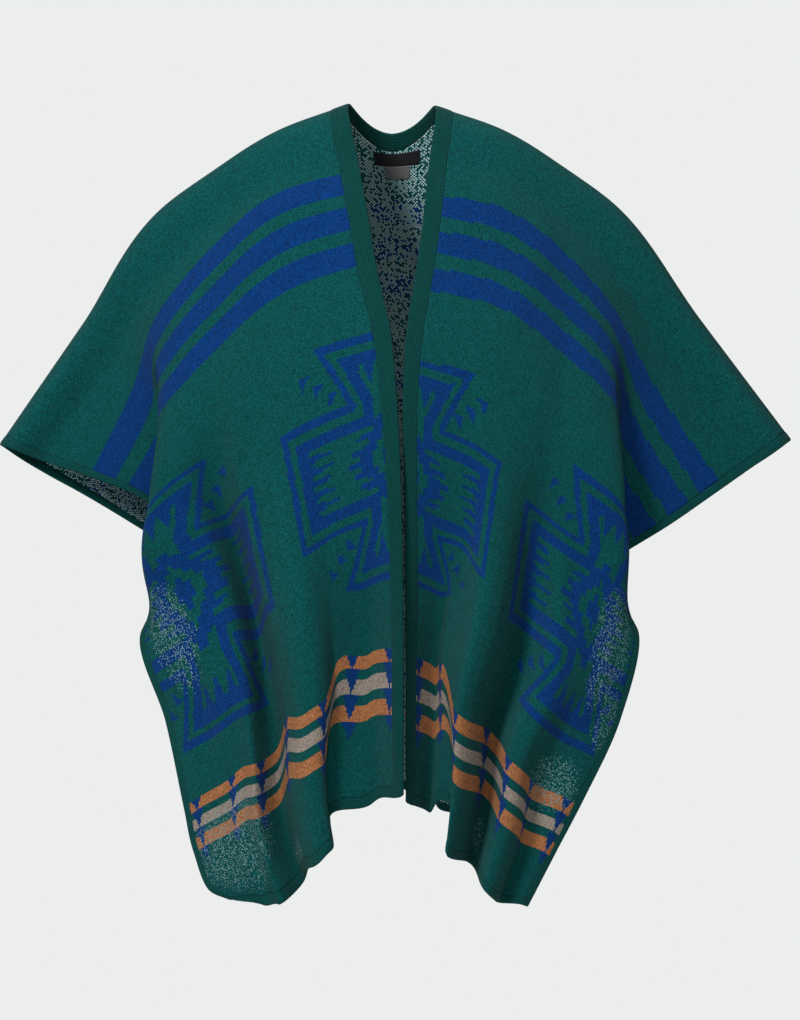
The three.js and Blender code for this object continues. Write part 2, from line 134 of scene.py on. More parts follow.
# at the top, at the hem, half breadth, forward, lean, pull, lift, starts, full
LEFT_FOLDS = [
    (60, 58, 56, -26, 10, 0, 18, 440, 640),
    (100, 110, 46, -4, 14, 0, 34, 440, 640),
    (112, 112, 60, 0, 22, 0, 6, 640, 800),
    (156, 172, 56, 32, -3, 0, 0, 300, 600),
    (210, 210, 40, 0, 0, 0, 14, 460, 640),
    (206, 206, 44, 0, 0, 0, -12, 660, 800),
    (242, 244, 44, -35, 4, 10, -8, 240, 460),
    (276, 282, 44, 0, 12, 0, -8, 460, 640),
    (340, 334, 60, -12, 2, 0, -2, 460, 680),
]
RIGHT_FOLDS = [
    (56, 56, 56, -26, 16, 0, 14, 420, 640),
    (96, 100, 46, -6, 0, 0, 24, 420, 620),
    (112, 122, 54, 0, 21, 0, 26, 640, 800),
    (146, 166, 58, 34, -20, 0, -16, 280, 600),
    (220, 230, 50, -27, 5, 0, 4, 330, 560),
    (286, 286, 60, 17, -5, 0, -8, 440, 680),
    (344, 344, 56, -14, 0, 0, -6, 440, 680),
]
BACK_FOLDS = [
    (-40, -52, 90, 20, 0, 0, 0, 200, 620),
    (60, 78, 96, 24, 0, 0, 0, 240, 640),
    (-190, -170, 80, -26, 0, 8, 0, 220, 560),
    (200, 190, 84, -28, 0, 8, 0, 200, 580),
    (-290, -290, 84, 22, 0, 0, 0, 260, 600),
    (310, 300, 80, 24, 0, 0, 0, 280, 620),
    (-380, -386, 56, -14, 0, 0, 0, 360, 640),
    (384, 388, 56, -16, 0, 0, 0, 360, 640),
]
# across, down, half length, half breadth, turn from straight down in degrees, height
LEFT_CREASES = [
    (150, 210, 120, 26, 18, 2.6),
    (118, 330, 130, 22, 4, 2.2),
    (236, 250, 110, 20, -14, -2.4),
    (196, 480, 150, 16, -5, 2.0),
    (254, 560, 120, 12, 6, -2.2),
    (306, 420, 90, 18, -20, 2.4),
    (352, 520, 100, 14, 12, -2.0),
    (402, 300, 90, 18, 34, 2.2),
    (440, 180, 110, 20, 52, -2.2),
    (92, 600, 70, 13, -8, -1.6),
    (60, 720, 60, 12, 5, 1.6),
    (170, 740, 50, 10, -12, 1.4),
    (330, 700, 70, 12, 8, 1.8),
]
RIGHT_CREASES = [
    (132, 190, 110, 24, -16, 2.4),
    (210, 300, 140, 22, 6, -2.6),
    (104, 420, 120, 18, -4, 2.0),
    (176, 540, 130, 15, 5, 1.8),
    (262, 470, 100, 16, 16, 2.2),
    (318, 380, 80, 18, -22, -2.2),
    (300, 610, 90, 13, 8, 2.0),
    (410, 250, 100, 20, 40, 2.4),
    (356, 560, 80, 14, -10, 1.8),
    (76, 660, 70, 12, 6, -1.5),
    (128, 750, 44, 10, -14, 1.4),
    (372, 690, 60, 12, 10, -1.6),
]
BACK_CREASES = [
    (-70, 240, 150, 30, 5, 2.6),
    (96, 330, 160, 26, -6, 2.4),
    (-230, 420, 140, 22, 9, -2.4),
    (250, 380, 120, 24, -12, 2.4),
    (-340, 300, 100, 20, -24, 2.2),
    (350, 520, 120, 18, 14, -2.2),
    (20, 600, 110, 18, -4, 1.8),
    (-150, 640, 90, 14, 7, 1.8),
    (170, 690, 70, 12, -9, -1.6),
]
print(len(LEFT_FRONT) + len(RIGHT_FRONT) + len(BACK), "sections,",
      len(LEFT_FOLDS) + len(RIGHT_FOLDS) + len(BACK_FOLDS), "folds,",
      len(LEFT_CREASES) + len(RIGHT_CREASES) + len(BACK_CREASES), "creases")

# %% [markdown]
# Two small tools do all the work on the surface. One eases a value from 0 to 1. The other runs a
# smooth curve through values at uneven stations, for whole arrays of points at once.

# %% Smooth curves for whole arrays


def ease(t):
    """s squared times (3 - 2 s), with s = t held between 0 and 1."""
    s = np.clip(t, 0, 1)
    return s * s * (3 - 2 * s)


def mix(a, b, t):
    """a + (b - a) t."""
    return a + (b - a) * t


def through(stations, values, x):
    """Cubic through values at stations: in each span a Hermite cubic, whose slope at a station is that
    of the parabola through it and its two neighbours. stations is (N, K), values (N, K, C), x (N,)."""
    steps = np.diff(stations, axis=1)[..., None]
    rises = np.diff(values, axis=1) / steps
    slopes = np.empty_like(values)
    slopes[:, 0] = rises[:, 0]
    slopes[:, -1] = rises[:, -1]
    share = steps[:, :-1] / (steps[:, :-1] + steps[:, 1:])
    slopes[:, 1:-1] = mix(rises[:, :-1], rises[:, 1:], share)
    span = (x[:, None] > stations[:, 1:-1]).sum(axis=1)
    row = np.arange(len(x))
    size = steps[row, span]
    t = ((x - stations[row, span]) / size[:, 0])[:, None]
    a, b = values[row, span], values[row, span + 1]
    sa, sb = slopes[row, span] * size, slopes[row, span + 1] * size
    return a + t * (sa + t * (3 * (b - a) - 2 * sa - sb + t * (2 * (a - b) + sa + sb)))


def section_at(table, down):
    """Every column of a table of sections, run smoothly over down."""
    n = len(down)
    stations = np.broadcast_to(table[:, 0], (n, len(table)))
    values = np.broadcast_to(table[:, 1:], (n, len(table), table.shape[1] - 1))
    return through(stations, values, down)


def width_at(table, down):
    """The cloth's width across at each down."""
    down = np.asarray(down, float)
    return section_at(table, down.ravel())[:, 0].reshape(down.shape)


def row_point(table, across, down):
    """The smooth curve of one row through six places: the front edge, two points of the bowed stretch,
    the outer fold, the tucked cloth behind it and the side edge."""
    values = section_at(table, down)
    width, fold_at, bow, tuck = values[:, 0], values[:, 1], values[:, 2], values[:, 3]
    centre, fold, side = values[:, 4:7], values[:, 7:10], values[:, 10:13]
    run = fold - centre
    length = np.hypot(run[:, 0], run[:, 2])
    outwards = np.where(run[:, 0] < 0, -1.0, 1.0)
    up = np.stack([-run[:, 2] / length * outwards, 0 * length, run[:, 0] / length * outwards], axis=1)

    def bowed(t):
        return mix(centre, fold, t) + up * (bow * np.sin(np.pi * t ** 0.8))[:, None]

    behind = mix(fold, side, 0.5)
    behind[:, 0] -= outwards * tuck
    zero = 0 * width
    stations = np.stack([zero, fold_at / 3, 2 * fold_at / 3, fold_at, (fold_at + width) / 2, width], axis=1)
    places = np.stack([centre, bowed(1 / 3), bowed(2 / 3), fold, behind, side], axis=1)
    return through(stations, places, across)


sample = row_point(LEFT_FRONT, np.array([233.0]), np.array([0.0]))
print("outer fold at the left shoulder, mm", sample.round(1))

# %% [markdown]
# Each panel is one surface object: its table, its folds, and which way is out. The rounding over the
# shoulder and the folds are moves along three directions: out of the cloth, along the row, and up.

# %% The surface of a panel


def unit(v):
    """v divided by its length."""
    return v / np.maximum(np.linalg.norm(v, axis=-1, keepdims=True), 1e-9)


def fold_moves(folds, across, down, length):
    """For each fold, with t the distance from its middle over its half breadth and s its strength:
    along gets -s pull sin(pi t / 2) and s lean cos^2(pi t / 2), out s forward cos^2, up s lift cos^2."""
    along, out, up = 0 * across, 0 * across, 0 * across
    for top, hem, half, forward, lean, pull, lift, start, full in folds:
        strength = ease((down - start) / (full - start))
        middle = mix(top, hem, np.clip((down - start) / (length - start), 0, 1))
        t = (across - middle) / half
        bell = np.where(np.abs(t) < 1, np.cos(np.pi * t / 2) ** 2, 0)
        along += strength * (lean * bell - np.where(np.abs(t) < 2, pull * np.sin(np.pi * t / 2), 0))
        out += strength * forward * bell
        up += strength * lift * bell
    return along, out, up


def crease_relief(creases, across, down):
    """The sum of height exp(-p^4) exp(-q^2), with p the distance along a crease over its half length
    and q the distance off it over its half breadth."""
    relief = 0 * across
    for at, start, length, breadth, turn, height in creases:
        c, s = np.cos(np.radians(turn)), np.sin(np.radians(turn))
        x, y = across - at, down - start
        p, q = (x * s + y * c) / length, (x * c - y * s) / breadth
        relief += height * np.exp(-p ** 4 - q ** 2)
    return relief


def crown(down, share):
    """How far the cloth rounds over the shoulder below its seam: height sin(pi t) (1 - t), with t the
    distance down over the reach, tighter where share nears 1, at the cuff."""
    t = np.clip(down / mix(*CROWN_REACH, share), 0, 1)
    return mix(*CROWN_HEIGHT, share) * np.sin(np.pi * t) * (1 - t)


class Panel:
    """A panel's surface: point(across, down) in millimetres, for arrays of one shape."""

    def __init__(self, table, folds, length, out_sign, creases):
        self.table, self.folds, self.length, self.out_sign = table, folds, length, out_sign
        self.creases = creases

    def base(self, across, down):
        return row_point(self.table, across, down)

    def arm_share(self, across):
        return np.clip(across / self.table[0, 1], 0, 1)

    def rounding(self, across):
        return 1.0

    def settle(self, across, down):
        return 0.0

    def point(self, across, down):
        shape = np.shape(across)
        a, d = np.ravel(across).astype(float), np.ravel(down).astype(float)
        step = 4.0
        row = unit(self.base(a + step, d) - self.base(a - step, d))
        drop = unit(self.base(a, d + step) - self.base(a, np.maximum(d - step, 0)))
        out = unit(np.cross(row, drop)) * self.out_sign
        along, forward, up = fold_moves(self.folds, a, d, self.length)
        forward = forward + crown(d, self.arm_share(a)) * self.rounding(a)
        forward = forward + crease_relief(self.creases, a, d)
        place = self.base(a, d) + self.settle(a, d) + out * forward[:, None] + row * along[:, None]
        place[:, 2] += up
        return place.reshape(*shape, 3)

    def outwards(self, across, down):
        """The direction through the wall: square to the shoulder seam beside it, and square to the
        surface below."""
        step = 1.5
        row = self.point(across + step, down) - self.point(across - step, down)
        drop = self.point(across, down + step) - self.point(across, np.maximum(down - step, 0))
        facing = unit(np.cross(row, drop)) * self.out_sign
        square = unit(np.stack([-row[..., 2], 0 * row[..., 0], row[..., 0]], axis=-1))
        square *= np.where(square[..., 2:] < 0, -1, 1)
        return unit(mix(square, facing, ease(down / WALL_TURN)[..., None]))


class BackPanel(Panel):
    """The back: both halves from one table, settled onto the fronts' shoulder line near the seam."""

    def base(self, across, down):
        place = row_point(self.table, np.abs(across), down)
        place[:, 0] = np.where(across > 0, -place[:, 0], place[:, 0])
        return place

    def arm_share(self, across):
        return np.clip((np.abs(across) - NECK_HALF) / LEFT_FRONT[0, 1], 0, 1)

    def rounding(self, across):
        return ease((np.abs(across) - NECK_HALF / 2) / NECK_HALF)

    def settle(self, across, down):
        line = shoulder_line(across)
        gap = line - self.base(across, 0 * down)
        return gap * (1 - ease(down / SHOULDER_FADE))[:, None]


def shoulder_line(across):
    """The seam over both arms, and a curve round the back of the neck between them: x grows in step
    with the distance from the middle, and y and z with its square."""
    reach = np.abs(across)
    top = 0 * across
    beyond = np.maximum(reach - NECK_HALF, 0)
    on_left = (across < 0)[:, None]
    place = np.where(on_left, left_front.point(beyond, top), right_front.point(beyond, top))
    t = np.minimum(reach / NECK_HALF, 1)
    middle = BACK[0, 5:8]
    round_neck = np.stack([place[:, 0] * t, mix(middle[1], place[:, 1], t * t),
                           mix(middle[2], place[:, 2], t * t)], axis=1)
    return np.where((reach < NECK_HALF)[:, None], round_neck, place)


left_front = Panel(LEFT_FRONT, LEFT_FOLDS, FRONT_LENGTH, 1, LEFT_CREASES)
right_front = Panel(RIGHT_FRONT, RIGHT_FOLDS, FRONT_LENGTH, -1, RIGHT_CREASES)
back_panel = BackPanel(BACK, BACK_FOLDS, BACK_LENGTH, 1, BACK_CREASES)
print("cuff points, mm", left_front.point(np.array([550.0]), np.array([0.0])).round(0),
      right_front.point(np.array([550.0]), np.array([0.0])).round(0))

# %% [markdown]
# The cloth is a double-face jacquard knit. Its pattern is a chart, as a knitter would draw it: each
# small square of the mesh is one stitch, and a rule says which yarn it shows. Stripes and border rows
# depend on how far down the stitch is. The crosses are worked from distances to their own outline.

# %% Yarn colours, as sRGB values turned to linear light


def linear(code):
    """An sRGB hex value as linear red, green, blue: ((c + 0.055) / 1.055)^2.4 above 0.04045."""
    channels = np.array([int(code[k:k + 2], 16) for k in (1, 3, 5)]) / 255
    return np.where(channels <= 0.04045, channels / 12.92, ((channels + 0.055) / 1.055) ** 2.4)


YARNS = {
    "green": linear("#045251"),
    "blue": linear("#023a7a"),
    "tan": linear("#b0744b"),
    "stone": linear("#9f9388"),
    "dark": linear("#1a5055"),
    "pale": linear("#b9dadd"),
}
print({name: value.round(3).tolist() for name, value in YARNS.items()})

# %% [markdown]
# The crosses are a common stepped cross: two flared bars over each other, with an outline, an inner
# band with comb teeth, a stepped lozenge in the middle and three small triangles off each notch.

# %% The chart of the pattern
STRIPES = ((104, 130), (146.5, 172.5), (189, 215))
BORDER_ROWS = ((634, 651, "tan"), (663, 680, "stone"), (692, 709, "tan"))
TRIANGLES = ((634, 651, 8.5), (651, 681, 9.5), (681, 710, 9.5), (710, 728, 8.5))
TRIANGLE_PITCH = 62.0
TRIANGLE_FIRST = 24.0
TALL = 132.0
WIDE = 136.0
NOTCH = (47.0, 65.0)
MIDDLE_CROSS = (12, 423)
SIDE_CROSS = (325, 448)
FLARE = 30
OUTLINE = (0, 8)
INNER_BAND = (16, 30)
# how long the teeth are, how far they reach each way, their pitch and half their breadth
SIDE_TEETH = (34, 40, 13, 4.6)
END_TEETH = (24, 48, 18, 7)
STEP = 9
SLOPE = 0.8
LOZENGE = (24, 42)
CORE = 10
FRINGE = (42, 58)
FRINGE_REACH = 46
FRINGE_TEETH = (13, 3.2)
NOTCH_TRIANGLES = (16, 31, 46)
TRIANGLE_SIDE = 7


def between(x, low, high):
    """True where low <= x < high."""
    return (x >= low) & (x < high)


def wave(x, pitch):
    """The distance from x to the nearest multiple of pitch."""
    return np.abs((x + pitch / 2) % pitch - pitch / 2)


def teeth(depth, along, long, reach, pitch, half):
    """Pointed teeth that narrow from half each way at depth 0 to nothing at depth long."""
    narrowed = half * (1 - depth / long)
    return between(depth, 0, long) & (np.abs(along) < reach) & (wave(along, pitch) < narrowed)


def cross(x, y):
    """True where a stitch x across and y down from the cross's middle is in the second colour."""
    ax, ay = np.abs(x), np.abs(y)
    flare = np.maximum(ay - NOTCH[1], 0) / (TALL - NOTCH[1])
    upright = np.minimum(TALL - ay, NOTCH[0] + FLARE * flare - ax)
    inside = np.maximum(upright, np.minimum(WIDE - ax, NOTCH[1] - ay))
    blue = between(inside, *OUTLINE) | between(inside, *INNER_BAND)
    blue |= teeth(WIDE - INNER_BAND[1] - ax, y, *SIDE_TEETH)
    blue |= teeth(TALL - INNER_BAND[1] - ay, x, *END_TEETH)
    stepped = ax + SLOPE * STEP * np.floor(ay / STEP)
    blue |= between(stepped, *LOZENGE) | (stepped < CORE)
    pitch, half = FRINGE_TEETH
    blue |= between(stepped, *FRINGE) & (ay < FRINGE_REACH) & (wave(y, pitch) < half)
    for reach in NOTCH_TRIANGLES:
        cx, cy = ax - NOTCH[0] - reach, ay - NOTCH[1] - SLOPE * reach
        blue |= (cx < TRIANGLE_SIDE) & (cy < TRIANGLE_SIDE) & (cx + cy > 0)
    return blue


def chart(across, down, crosses):
    """The yarn of each stitch on the outer face. Later rules lie over earlier ones. Each cross is named
    by its middle's place across and down."""
    yarn = np.broadcast_to(YARNS["green"], (*across.shape, 3)).copy()
    blue = np.zeros(across.shape, bool)
    for top, foot in STRIPES:
        blue |= between(down, top, foot)
    for line, row in crosses:
        blue |= cross(across - line, down - row)
    for top, foot, name in BORDER_ROWS:
        yarn[between(down, top, foot)] = YARNS[name]
    for top, foot, half in TRIANGLES:
        inside = between(down, top, foot)
        narrowed = half * (foot - down) / (foot - top)
        blue |= inside & (wave(across - TRIANGLE_FIRST, TRIANGLE_PITCH) < narrowed)
    yarn[blue] = YARNS["blue"]
    return yarn


def right_shift(across, down):
    """How much further down the right front's pattern lies than its cloth: most at the front band, less
    towards the cuff."""
    at_edge = np.interp(down, [0, 215, 320, 440, 560, 640, 800], [-27, -27, -30, -23, -8, -11, -9])
    return down + at_edge + 41 * (across / 550) * (1 - ease((down - 215) / 225))


stitches = chart(*np.meshgrid(np.arange(0, 400, 3.0), np.arange(0, 800, 3.0)), (MIDDLE_CROSS, SIDE_CROSS))
print("share of blue stitches", round(float((stitches == YARNS["blue"]).all(axis=2).mean()), 3))

# %% [markdown]
# The knit is loose, and where it hangs in one layer at the sides, daylight comes through some stitches
# as pale specks. These specks are painted light: in these patches some stitches are given a pale
# daylight colour instead of their yarn. These patches say where, as seen on a worn cape.

# %% Where daylight specks are painted
# across, down, half across, half down
DAYLIGHT_SPECK_PATCHES = {
    "left": [(362, 470, 36, 60), (345, 722, 84, 66), (222, 776, 16, 16)],
    "right": [(366, 486, 34, 66), (366, 636, 44, 36), (226, 762, 16, 22), (398, 552, 20, 34)],
    "back": [(-300, 560, 60, 90), (290, 600, 70, 80)],
}


def daylight_speck_share(patches, across, down):
    """The largest of 1 - (p^2 + q^2)^2 over the patches, with p and q the distances from the middle
    over the half sizes, and at least 0."""
    share = 0 * across
    for u, v, half_across, half_down in patches:
        square = ((across - u) / half_across) ** 2 + ((down - v) / half_down) ** 2
        share = np.maximum(share, 1 - square ** 2)
    return share


print("sheer patches", sum(len(patches) for patches in DAYLIGHT_SPECK_PATCHES.values()))

# %% [markdown]
# Every piece is a closed wall: an outer and an inner sheet of the same stitches, joined by a rim. The
# wall may be thicker in some columns, which rounds the edge of a band.

# %% Building a wall of cloth


def grid_faces(rows, columns, start=0):
    """Squares of a grid of points numbered row by row."""
    r, c = np.meshgrid(np.arange(rows - 1), np.arange(columns - 1), indexing="ij")
    first = start + r * columns + c
    return np.stack([first, first + columns, first + columns + 1, first + 1], axis=-1).reshape(-1, 4)


def rim_faces(loop, count):
    """Squares between the outer sheet's border and the same border of the inner sheet."""
    ahead = np.roll(loop, -1)
    return np.stack([loop, ahead, ahead + count, loop + count], axis=1)


def wall_of_cloth(name, panel, across, down, wall, lift=0.0):
    """Points at surface + outwards (lift +- wall / 2); the sheets' squares and the rim's."""
    rows, columns = across.shape
    middle = panel.point(across, down)
    outwards = panel.outwards(across, down)
    thick = np.broadcast_to(wall, across.shape)[..., None]
    sheets = [middle + outwards * (lift + side * thick / 2) for side in (1, -1)]
    count = rows * columns
    points = np.concatenate([s.reshape(-1, 3) for s in sheets])
    outer = grid_faces(rows, columns)
    inner = grid_faces(rows, columns, count)[:, ::-1]
    index = np.arange(count).reshape(rows, columns)
    loop = np.concatenate([index[0, :-1], index[:-1, -1], index[-1, :0:-1], index[:0:-1, 0]])
    rim = rim_faces(loop, count)
    facing = np.cross(points[outer[:, 3]] - points[outer[:, 0]], points[outer[:, 1]] - points[outer[:, 0]])
    agrees = (facing * (sheets[0] - sheets[1]).reshape(-1, 3)[outer[:, 0]]).sum(axis=1).mean()
    faces = np.concatenate([outer, inner, rim])
    if agrees > 0:
        faces = faces[:, ::-1]
    mesh = bpy.data.meshes.new(name)
    mesh.from_pydata((points * MM).tolist(), [], faces.tolist())
    mesh.polygons.foreach_set("use_smooth", np.ones(len(faces), bool))
    part = np.concatenate([np.zeros(len(outer)), np.ones(len(inner)), np.zeros(len(rim))]).astype(np.int32)
    mesh.polygons.foreach_set("material_index", part)
    mesh.update()
    made = bpy.data.objects.new(name, mesh)
    bpy.context.scene.collection.objects.link(made)
    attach(made, "root")
    return made


def lay_uv(made, across, down):
    """The cloth's own lengths in metres as its UV map, the same on both sheets."""
    mesh = made.data
    per_point = np.stack([np.ravel(across), np.ravel(down)], axis=1) * MM
    per_point = np.concatenate([per_point, per_point])
    corner = np.empty(len(mesh.loops), np.int32)
    mesh.loops.foreach_get("vertex_index", corner)
    layer = mesh.uv_layers.new(name="cloth")
    layer.data.foreach_set("uv", per_point[corner].ravel())


def mark_daylight_specks(made, patches, across, down):
    """The share of painted daylight specks at every point, the same on both sheets."""
    share = daylight_speck_share(patches, across, down).ravel()
    layer = made.data.attributes.new("painted_daylight", "FLOAT", "POINT")
    layer.data.foreach_set("value", np.concatenate([share, share]).astype(np.float32))


def colour_stitches(made, outer_yarn, inner_yarn, rim_yarn):
    """One colour for each square, given to its four corners."""
    mesh = made.data
    squares = len(mesh.polygons)
    count = len(outer_yarn)
    colours = np.ones((squares, 4, 4), np.float32)
    colours[:, :, :3] = rim_yarn
    colours[:count, :, :3] = outer_yarn[:, None]
    colours[count:2 * count, :, :3] = inner_yarn[:, None]
    layer = mesh.color_attributes.new(name="yarn", type="FLOAT_COLOR", domain="CORNER")
    layer.data.foreach_set("color", colours.ravel())


print("wall tools ready")

# %% [markdown]
# Wool yarn is matt and a little furry, so its finish is rough with a weak sheen. The face shows flat
# stitches whose yarn varies slightly in depth of colour, and each stitch has painted shade: its colour is
# darker in the hollows between its loops. The reverse of such a knit mixes both yarns stitch by stitch,
# which the eye reads as a fine pale and dark speckle. Stitches are drawn 2.4 mm wide, somewhat coarser
# than the real ones, so that they show.

# %% Nodes for the finishes
STITCH = (2.4, 2.1)
FLECK = 1.2
BIRDSEYE = 1.7
COLOURED_ABOVE = 0.3
PALE_ABOVE = 0.64
# painted daylight specks: their cell size, their share and the pale colour that stands in for light through
# the knit
DAYLIGHT_SPECK_CELL = 1.0
DAYLIGHT_SPECK_SHARE = 0.2
DAYLIGHT = linear("#74989b")


def node(tree, kind, inputs=(), **settings):
    """Adds one node, sets its settings, and links or sets its inputs."""
    made = tree.nodes.new(kind)
    for key, value in settings.items():
        setattr(made, key, value)
    for key, value in dict(inputs).items():
        if isinstance(value, bpy.types.NodeSocket):
            tree.links.new(value, made.inputs[key])
        else:
            made.inputs[key].default_value = value
    return made


def new_finish(name, roughness, sheen):
    """A material with only its shader and output; sheen is that of loose wool fibres."""
    finish = bpy.data.materials.new(name)
    finish.use_nodes = True
    tree = finish.node_tree
    shader = tree.nodes["Principled BSDF"]
    shader.inputs["Roughness"].default_value = roughness
    shader.inputs["Sheen Weight"].default_value = sheen
    shader.inputs["Sheen Roughness"].default_value = 0.6
    shader.inputs["Specular IOR Level"].default_value = 0.06
    return finish, tree, shader


def math(tree, operation, first, second=0.0):
    return node(tree, "ShaderNodeMath", {0: first, 1: second}, operation=operation).outputs[0]


def spread(tree, value, amount, least):
    """least + amount times value."""
    made = math(tree, "MULTIPLY_ADD", value, amount)
    made.node.inputs[2].default_value = least
    return made


def cloth_lengths(tree):
    """Across and down in metres, read from the cloth's own UV map."""
    place = node(tree, "ShaderNodeUVMap", uv_map="cloth")
    parts = node(tree, "ShaderNodeSeparateXYZ", {0: place.outputs[0]})
    return parts.outputs[0], parts.outputs[1]


def stitch_relief(tree, across, down, size):
    """A knit stitch's height: |sin(pi (down + 0.7 |f - 0.5|))| (1 - |2 f - 1|^3), with f the part of the
    stitch across; down and across counted in stitches. It gives columns of small V shapes."""
    columns = math(tree, "DIVIDE", across, size[0] * MM)
    rows = math(tree, "DIVIDE", down, size[1] * MM)
    off = math(tree, "ABSOLUTE", math(tree, "SUBTRACT", math(tree, "FRACT", columns), 0.5))
    slant = math(tree, "ADD", rows, math(tree, "MULTIPLY", off, 0.7))
    loops = math(tree, "ABSOLUTE", math(tree, "SINE", math(tree, "MULTIPLY", slant, np.pi)))
    edge = math(tree, "SUBTRACT", 1.0, math(tree, "POWER", math(tree, "MULTIPLY", off, 2.0), 3.0))
    return math(tree, "MULTIPLY", loops, edge)


def fleck(tree, across, down, size):
    """One random value from 0 to 1 for each square of the given size in millimetres."""
    cells = [math(tree, "FLOOR", math(tree, "DIVIDE", length, size * MM)) for length in (across, down)]
    place = node(tree, "ShaderNodeCombineXYZ", {0: cells[0], 1: cells[1]})
    noise = node(tree, "ShaderNodeTexWhiteNoise", {"Vector": place.outputs[0]}, noise_dimensions="2D")
    return noise.outputs[0]


def scaled(tree, colour, amount):
    """colour times amount, channel by channel."""
    return node(tree, "ShaderNodeVectorMath", {0: colour, "Scale": amount}, operation="SCALE").outputs[0]


def blend(tree, factor, first, second):
    made = node(tree, "ShaderNodeMix", data_type="RGBA")
    for key, value in ((0, factor), (6, first), (7, second)):
        if isinstance(value, bpy.types.NodeSocket):
            tree.links.new(value, made.inputs[key])
        else:
            made.inputs[key].default_value = (*value, 1) if key else value
    return made.outputs[2]


def raise_relief(tree, shader, height, depth):
    bump = node(tree, "ShaderNodeBump", {"Height": height, "Distance": depth * MM, "Strength": 1.0})
    tree.links.new(bump.outputs[0], shader.inputs["Normal"])


def knit_face():
    """Jacquard face of a wool-blend knit: matt, with stitches in relief, slightly uneven dye, painted shade
    between the stitch loops and, in the listed patches, pale stitches painted as daylight seen through the
    knit.
    """
    finish, tree, shader = new_finish("wool_knit_face", 0.95, 0.03)
    across, down = cloth_lengths(tree)
    yarn = node(tree, "ShaderNodeAttribute", attribute_name="yarn").outputs["Color"]
    relief = stitch_relief(tree, across, down, STITCH)
    grain = spread(tree, fleck(tree, across, down, FLECK), 0.7, 0.55)
    # painted shade: the yarn colour is darker where the stitch relief is low, in the hollows between the
    # loops
    depth = spread(tree, relief, 0.3, 0.82)
    dyed_and_stitch_shaded = scaled(tree, yarn, math(tree, "MULTIPLY", grain, depth))
    # painted light: in the listed patches some stitches take the pale DAYLIGHT colour, as if light shone
    # through the knit
    painted_daylight = node(tree, "ShaderNodeAttribute", attribute_name="painted_daylight").outputs["Fac"]
    share = math(tree, "MULTIPLY", painted_daylight, DAYLIGHT_SPECK_SHARE)
    chance = math(tree, "ADD", fleck(tree, across, down, DAYLIGHT_SPECK_CELL), share)
    painted_daylight_speck = math(tree, "GREATER_THAN", chance, 1.0)
    tree.links.new(blend(tree, painted_daylight_speck, dyed_and_stitch_shaded, DAYLIGHT), shader.inputs["Base Color"])
    raise_relief(tree, shader, relief, 0.5)
    return finish


def knit_reverse():
    """Reverse of the double-face knit, a birdseye: every second stitch is mostly pale, the ones between
    are dark or coloured, and chance blurs the order."""
    finish, tree, shader = new_finish("wool_knit_reverse", 0.95, 0.03)
    across, down = cloth_lengths(tree)
    yarn = node(tree, "ShaderNodeAttribute", attribute_name="yarn").outputs["Color"]
    cells = [math(tree, "FLOOR", math(tree, "DIVIDE", length, BIRDSEYE * MM)) for length in (across, down)]
    parity = math(tree, "FRACT", math(tree, "MULTIPLY", math(tree, "ADD", *cells), 0.5))
    value = math(tree, "ADD", parity, math(tree, "MULTIPLY", fleck(tree, across, down, BIRDSEYE), 0.5))
    coloured = blend(tree, math(tree, "GREATER_THAN", value, COLOURED_ABOVE), YARNS["dark"], yarn)
    mixed = blend(tree, math(tree, "GREATER_THAN", value, PALE_ABOVE), coloured, YARNS["pale"])
    tree.links.new(mixed, shader.inputs["Base Color"])
    raise_relief(tree, shader, stitch_relief(tree, across, down, STITCH), 0.5)
    return finish


def rib_edging(name, code, rib):
    """Edging knit in fine ribs that run along it: grooves at the given spacing, and a slight fleck."""
    finish, tree, shader = new_finish(name, 0.93, 0.03)
    across, down = cloth_lengths(tree)
    groove = math(tree, "ABSOLUTE", math(tree, "SINE", math(tree, "DIVIDE", across, rib * MM / np.pi)))
    row = math(tree, "ABSOLUTE", math(tree, "SINE", math(tree, "DIVIDE", down, 1.9 * MM / np.pi)))
    grain = spread(tree, fleck(tree, across, down, FLECK), 0.35, 0.72)
    shade = spread(tree, groove, 0.25, 0.82)
    colour = node(tree, "ShaderNodeRGB")
    colour.outputs[0].default_value = (*linear(code), 1)
    tree.links.new(scaled(tree, colour.outputs[0], math(tree, "MULTIPLY", grain, shade)),
                   shader.inputs["Base Color"])
    raise_relief(tree, shader, math(tree, "ADD", groove, math(tree, "MULTIPLY", row, 0.4)), 0.4)
    return finish


def satin_label(name, code):
    """Woven satin tape: smoother than wool, with fine threads across it."""
    finish, tree, shader = new_finish(name, 0.5, 0.0)
    across, down = cloth_lengths(tree)
    threads = math(tree, "ABSOLUTE", math(tree, "SINE", math(tree, "DIVIDE", down, 0.6 * MM / np.pi)))
    shade = spread(tree, threads, 0.3, 0.8)
    colour = node(tree, "ShaderNodeRGB")
    colour.outputs[0].default_value = (*linear(code), 1)
    tree.links.new(scaled(tree, colour.outputs[0], shade), shader.inputs["Base Color"])
    raise_relief(tree, shader, threads, 0.1)
    return finish


FACE = knit_face()
REVERSE = knit_reverse()
EDGING = rib_edging("wool_rib_edging", "#05423f", 3.3)
TURNED = rib_edging("wool_turned_edge", "#064846", 2.4)
BLACK_SATIN = satin_label("black_satin_label", "#26262a")
GREY_SATIN = satin_label("grey_satin_label", "#6a6a6c")
print(len(bpy.data.materials), "finishes")

# %% [markdown]
# A front is one length of knit from the shoulder to the hem. Its rows are even, because each one is a
# row of stitches. Its side edge narrows below the arm, so the stitch columns close up with it.

# %% The fronts
FRONT_STITCHES = (262, 168)


def edges_of(panel, down):
    """Where the side seam of a panel lies across, at each down."""
    return width_at(panel.table, down) - EDGE_BAND - SEAM


